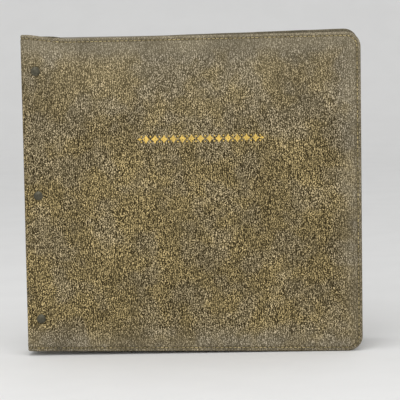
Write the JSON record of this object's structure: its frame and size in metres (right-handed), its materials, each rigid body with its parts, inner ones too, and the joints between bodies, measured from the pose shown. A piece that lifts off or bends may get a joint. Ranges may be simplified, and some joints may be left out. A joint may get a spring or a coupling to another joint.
{
  "type": "post-bound scrapbook album",
  "caption": "Square post-bound scrapbook album in a sewn leather cover, with hinged covers and card leaves on linen hinges held by screw posts.",
  "frame": {"origin": "centre of the bounding box at the tail edge, on which the album stands", "axes": "+X from the spine to the fore-edge, -Y is where the front cover faces, +Z from tail to head"},
  "size_m": [0.344, 0.0836, 0.322],
  "materials": {
    "leather": "distressed, low sheen",
    "lining": "smooth skiver, matte",
    "thread": "waxed thread",
    "board": "grey pasteboard",
    "foil": "stamped foil",
    "post_metal": "antique gunmetal",
    "card": "matte card",
    "linen": "plain weave"
  },
  "bodies": {
    "binding": {"binding_leather": "leather", "binding_lining": "lining", "binding_stitching": "thread", "spine_board": "board", "front_strip_board": "board", "rear_strip_board": "board", "post_top": "post_metal", "post_middle": "post_metal", "post_bottom": "post_metal", "stub_01": "card", "stub_02": "card", "stub_03": "card", "stub_04": "card", "stub_05": "card", "stub_06": "card", "stub_07": "card", "stub_08": "card", "stub_09": "card", "stub_10": "card", "stub_11": "card", "stub_12": "card"},
    "front_cover": {"front_leather": "leather", "front_board": "board", "front_lining": "lining", "front_stitching": "thread", "front_ornament": "foil"},
    "rear_cover": {"rear_leather": "leather", "rear_board": "board", "rear_lining": "lining", "rear_stitching": "thread"},
    "page_01": {"leaf_01": "card", "linen_hinge_01": "linen"},
    "page_02": {"leaf_02": "card", "linen_hinge_02": "linen"},
    "page_03": {"leaf_03": "card", "linen_hinge_03": "linen"},
    "page_04": {"leaf_04": "card", "linen_hinge_04": "linen"},
    "page_05": {"leaf_05": "card", "linen_hinge_05": "linen"},
    "page_06": {"leaf_06": "card", "linen_hinge_06": "linen"},
    "page_07": {"leaf_07": "card", "linen_hinge_07": "linen"},
    "page_08": {"leaf_08": "card", "linen_hinge_08": "linen"},
    "page_09": {"leaf_09": "card", "linen_hinge_09": "linen"},
    "page_10": {"leaf_10": "card", "linen_hinge_10": "linen"},
    "page_11": {"leaf_11": "card", "linen_hinge_11": "linen"},
    "page_12": {"leaf_12": "card", "linen_hinge_12": "linen"},
    "screw_top": {"screw_top": "post_metal"},
    "screw_middle": {"screw_middle": "post_metal"},
    "screw_bottom": {"screw_bottom": "post_metal"}
  },
  "joints": [
    {"name": "front_cover_hinge", "type": "hinge", "parent": "binding", "child": "front_cover", "pos_m": [-0.144, -0.04039, 0], "axis": [0, 0, -1], "range_deg": [0, 170]},
    {"name": "rear_cover_hinge", "type": "hinge", "parent": "binding", "child": "rear_cover", "pos_m": [-0.144, -0.00219, 0], "axis": [0, 0, 1], "range_deg": [-8, 162]},
    {"name": "page_01_hinge", "type": "hinge", "parent": "binding", "child": "page_01", "pos_m": [-0.141, -0.03499, 0], "axis": [0, 0, -1], "range_deg": [0, 80]},
    {"name": "page_02_hinge", "type": "hinge", "parent": "binding", "child": "page_02", "pos_m": [-0.141, -0.03259, 0], "axis": [0, 0, -1], "range_deg": [0, 73.4]},
    {"name": "page_03_hinge", "type": "hinge", "parent": "binding", "child": "page_03", "pos_m": [-0.141, -0.03019, 0], "axis": [0, 0, -1], "range_deg": [0, 66.7]},
    {"name": "page_04_hinge", "type": "hinge", "parent": "binding", "child": "page_04", "pos_m": [-0.141, -0.02779, 0], "axis": [0, 0, -1], "range_deg": [0, 60.1]},
    {"name": "page_05_hinge", "type": "hinge", "parent": "binding", "child": "page_05", "pos_m": [-0.141, -0.02539, 0], "axis": [0, 0, -1], "range_deg": [0, 53.4]},
    {"name": "page_06_hinge", "type": "hinge", "parent": "binding", "child": "page_06", "pos_m": [-0.141, -0.02299, 0], "axis": [0, 0, -1], "range_deg": [0, 46.8]},
    {"name": "page_07_hinge", "type": "hinge", "parent": "binding", "child": "page_07", "pos_m": [-0.141, -0.02059, 0], "axis": [0, 0, -1], "range_deg": [0, 40.1]},
    {"name": "page_08_hinge", "type": "hinge", "parent": "binding", "child": "page_08", "pos_m": [-0.141, -0.01819, 0], "axis": [0, 0, -1], "range_deg": [0, 33.4]},
    {"name": "page_09_hinge", "type": "hinge", "parent": "binding", "child": "page_09", "pos_m": [-0.141, -0.01579, 0], "axis": [0, 0, -1], "range_deg": [0, 26.8]},
    {"name": "page_10_hinge", "type": "hinge", "parent": "binding", "child": "page_10", "pos_m": [-0.141, -0.01339, 0], "axis": [0, 0, -1], "range_deg": [0, 20.1]},
    {"name": "page_11_hinge", "type": "hinge", "parent": "binding", "child": "page_11", "pos_m": [-0.141, -0.01099, 0], "axis": [0, 0, -1], "range_deg": [0, 13.5]},
    {"name": "page_12_hinge", "type": "hinge", "parent": "binding", "child": "page_12", "pos_m": [-0.141, -0.00859, 0], "axis": [0, 0, -1], "range_deg": [0, 6.8]},
    {"name": "screw_top_turn", "type": "hinge", "parent": "binding", "child": "screw_top", "pos_m": [-0.157, -0.00219, 0.288], "axis": [0, 1, 0], "range_deg": [0, 360]},
    {"name": "screw_middle_turn", "type": "hinge", "parent": "binding", "child": "screw_middle", "pos_m": [-0.157, -0.00219, 0.161], "axis": [0, 1, 0], "range_deg": [0, 360]},
    {"name": "screw_bottom_turn", "type": "hinge", "parent": "binding", "child": "screw_bottom", "pos_m": [-0.157, -0.00219, 0.034], "axis": [0, 1, 0], "range_deg": [0, 360]}
  ],
  "couplings": [
    {"joint": "page_01_hinge", "follows": "front_cover_hinge", "ratio": 0.47},
    {"joint": "page_02_hinge", "follows": "front_cover_hinge", "ratio": 0.4308},
    {"joint": "page_03_hinge", "follows": "front_cover_hinge", "ratio": 0.3917},
    {"joint": "page_04_hinge", "follows": "front_cover_hinge", "ratio": 0.3525},
    {"joint": "page_05_hinge", "follows": "front_cover_hinge", "ratio": 0.3133},
    {"joint": "page_06_hinge", "follows": "front_cover_hinge", "ratio": 0.2742},
    {"joint": "page_07_hinge", "follows": "front_cover_hinge", "ratio": 0.235},
    {"joint": "page_08_hinge", "follows": "front_cover_hinge", "ratio": 0.1958},
    {"joint": "page_09_hinge", "follows": "front_cover_hinge", "ratio": 0.1567},
    {"joint": "page_10_hinge", "follows": "front_cover_hinge", "ratio": 0.1175},
    {"joint": "page_11_hinge", "follows": "front_cover_hinge", "ratio": 0.0783},
    {"joint": "page_12_hinge", "follows": "front_cover_hinge", "ratio": 0.0392}
  ]
}
